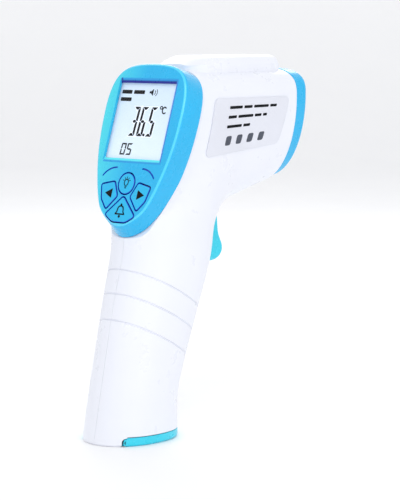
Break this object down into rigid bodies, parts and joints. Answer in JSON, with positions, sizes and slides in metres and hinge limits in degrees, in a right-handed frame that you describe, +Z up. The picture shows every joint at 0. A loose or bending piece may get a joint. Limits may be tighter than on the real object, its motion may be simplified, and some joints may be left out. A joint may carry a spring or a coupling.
{
  "type": "infrared thermometer",
  "caption": "Pistol-shaped infrared thermometer with a rear display, keypad, trigger, sensor funnel in the nose and a battery door under the leaning grip.",
  "frame": {"origin": "on the flat foot of the grip, in the middle plane, 21.7 mm ahead of the back edge of the foot", "axes": "+X is the way it aims, +Y is the holder's left, +Z is up, away from the foot"},
  "size_m": [0.1017, 0.0424, 0.1473],
  "materials": {
    "white_plastic": "moulded ABS, glossy white",
    "blue_plastic": "moulded ABS, light blue",
    "key_plastic": "moulded ABS, light blue",
    "clear_plastic": "clear acrylic window",
    "lcd_glass": "liquid crystal cell, pale grey",
    "diffuser": "white light guide and frame",
    "board": "green solder mask on glass-epoxy",
    "silicone": "grey silicone",
    "black_plastic": "black, lightly textured",
    "contact_rubber": "striped conductive rubber",
    "steel": "zinc-plated steel",
    "brass": "turned, plain",
    "nickel": "nickel-plated",
    "filter": "coated silicon",
    "red_lead": "insulation",
    "label_film": "printed film, pale grey",
    "cell_wrap": "plastic sleeve over a steel can",
    "cable_grey": "insulation"
  },
  "bodies": {
    "housing": {"right_shell": "white_plastic", "left_shell": "white_plastic", "side_label": "label_film", "housing_screw_1": "steel", "housing_screw_2": "steel", "housing_screw_3": "steel", "housing_screw_4": "steel", "display_bezel": "blue_plastic", "lcd_window": "clear_plastic", "lcd_panel": "lcd_glass", "lcd_frame": "diffuser", "backlight_panel": "diffuser", "zebra_strip": "contact_rubber", "main_board": "board", "keypad_membrane": "silicone", "controller_chip": "black_plastic", "buzzer": "black_plastic", "board_screw_left": "steel", "board_screw_right": "steel", "nose_ring": "blue_plastic", "nose_funnel": "black_plastic", "sensor_heatsink": "brass", "thermopile_can": "nickel", "sensor_window": "filter", "sensor_board": "board", "sensor_cable": "cable_grey", "trigger_pin": "steel", "trigger_spring": "steel", "trigger_switch": "black_plastic", "trigger_board": "board", "trigger_lead": "cable_grey", "battery_front": "cell_wrap", "battery_rear": "cell_wrap", "positive_contact": "nickel", "negative_contact": "nickel", "contact_carrier": "white_plastic", "battery_lead_red": "red_lead", "battery_lead_black": "black_plastic"},
    "trigger": {"trigger": "blue_plastic"},
    "plunger": {"switch_plunger": "silicone"},
    "light_key": {"light_button": "key_plastic"},
    "left_key": {"left_button": "key_plastic"},
    "right_key": {"right_button": "key_plastic"},
    "alarm_key": {"alarm_button": "key_plastic"},
    "door": {"battery_door": "blue_plastic", "door_hinge_pin": "steel", "bridge_plate": "nickel", "bridge_spring_front": "steel", "bridge_spring_rear": "steel"}
  },
  "joints": [
    {"name": "trigger_pull", "type": "hinge", "parent": "housing", "child": "trigger", "pos_m": [0.039, 0, 0.088], "axis": [0, 1, 0], "range_deg": [0, 7], "stiffness_Nm_per_rad": 0.05, "deforming": ["trigger_spring"]},
    {"name": "plunger_press", "type": "slide", "parent": "housing", "child": "plunger", "axis": [-1, 0, 0], "range_m": [0, 0.0007]},
    {"name": "light_key_press", "type": "slide", "parent": "housing", "child": "light_key", "axis": [0.9511, 0, -0.309], "range_m": [0, 0.0008], "stiffness_N_per_m": 900, "deforming": ["keypad_membrane"]},
    {"name": "left_key_press", "type": "slide", "parent": "housing", "child": "left_key", "axis": [0.9511, 0, -0.309], "range_m": [0, 0.0008], "stiffness_N_per_m": 900, "deforming": ["keypad_membrane"]},
    {"name": "right_key_press", "type": "slide", "parent": "housing", "child": "right_key", "axis": [0.9511, 0, -0.309], "range_m": [0, 0.0008], "stiffness_N_per_m": 900, "deforming": ["keypad_membrane"]},
    {"name": "alarm_key_press", "type": "slide", "parent": "housing", "child": "alarm_key", "axis": [0.9511, 0, -0.309], "range_m": [0, 0.0008], "stiffness_N_per_m": 900, "deforming": ["keypad_membrane"]},
    {"name": "door_swing", "type": "hinge", "parent": "housing", "child": "door", "pos_m": [-0.0152, 0, 0.0015], "axis": [0, 1, 0], "range_deg": [0, 95]}
  ],
  "couplings": [
    {"joint": "plunger_press", "follows": "trigger_pull", "m_per_rad": 0.0053}
  ]
}
